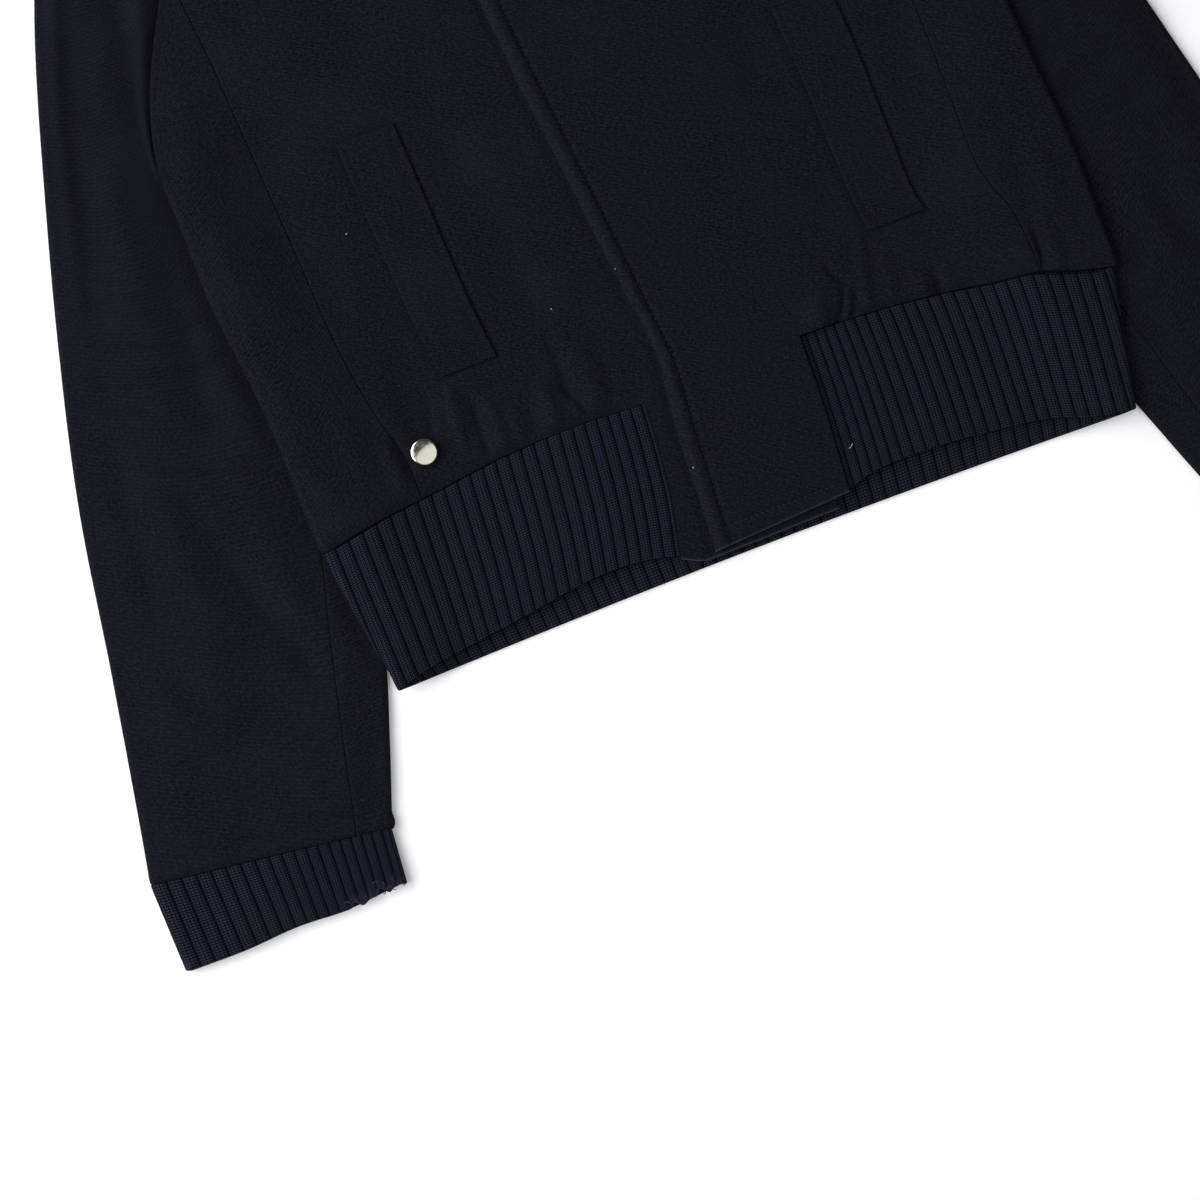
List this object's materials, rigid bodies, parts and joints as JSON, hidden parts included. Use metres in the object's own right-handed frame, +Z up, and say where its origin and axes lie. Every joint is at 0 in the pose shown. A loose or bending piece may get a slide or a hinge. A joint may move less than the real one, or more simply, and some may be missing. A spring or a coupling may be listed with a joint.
{
  "type": "hooded jacket",
  "caption": "Hooded wool blouson laid flat on its back: ribbed hem and cuffs, covered front fly, slanted welt pockets and a metal snap cap.",
  "frame": {"origin": "middle of the garment's bounding box on the surface it lies on", "axes": "+X to the wearer's left, +Y from the hem to the hood, +Z up from the surface"},
  "size_m": [0.7386, 1.031, 0.0166],
  "materials": {
    "wool_twill": "matt wool twill with a short nap, near-black navy",
    "rib_knit": "matt ribbed wool knit, near-black navy",
    "snap_metal": "polished nickel"
  },
  "bodies": {
    "root": {"front_right": "wool_twill", "front_left": "wool_twill", "side_right": "wool_twill", "side_left": "wool_twill", "back": "wool_twill", "sleeve_top_right": "wool_twill", "sleeve_top_left": "wool_twill", "sleeve_under_right": "wool_twill", "sleeve_under_left": "wool_twill", "cuff_right": "rib_knit", "cuff_left": "rib_knit", "hem_rib": "rib_knit", "welt_right": "wool_twill", "welt_left": "wool_twill", "hood_right": "wool_twill", "hood_left": "wool_twill", "snap_cap": "snap_metal"}
  },
  "joints": []
}
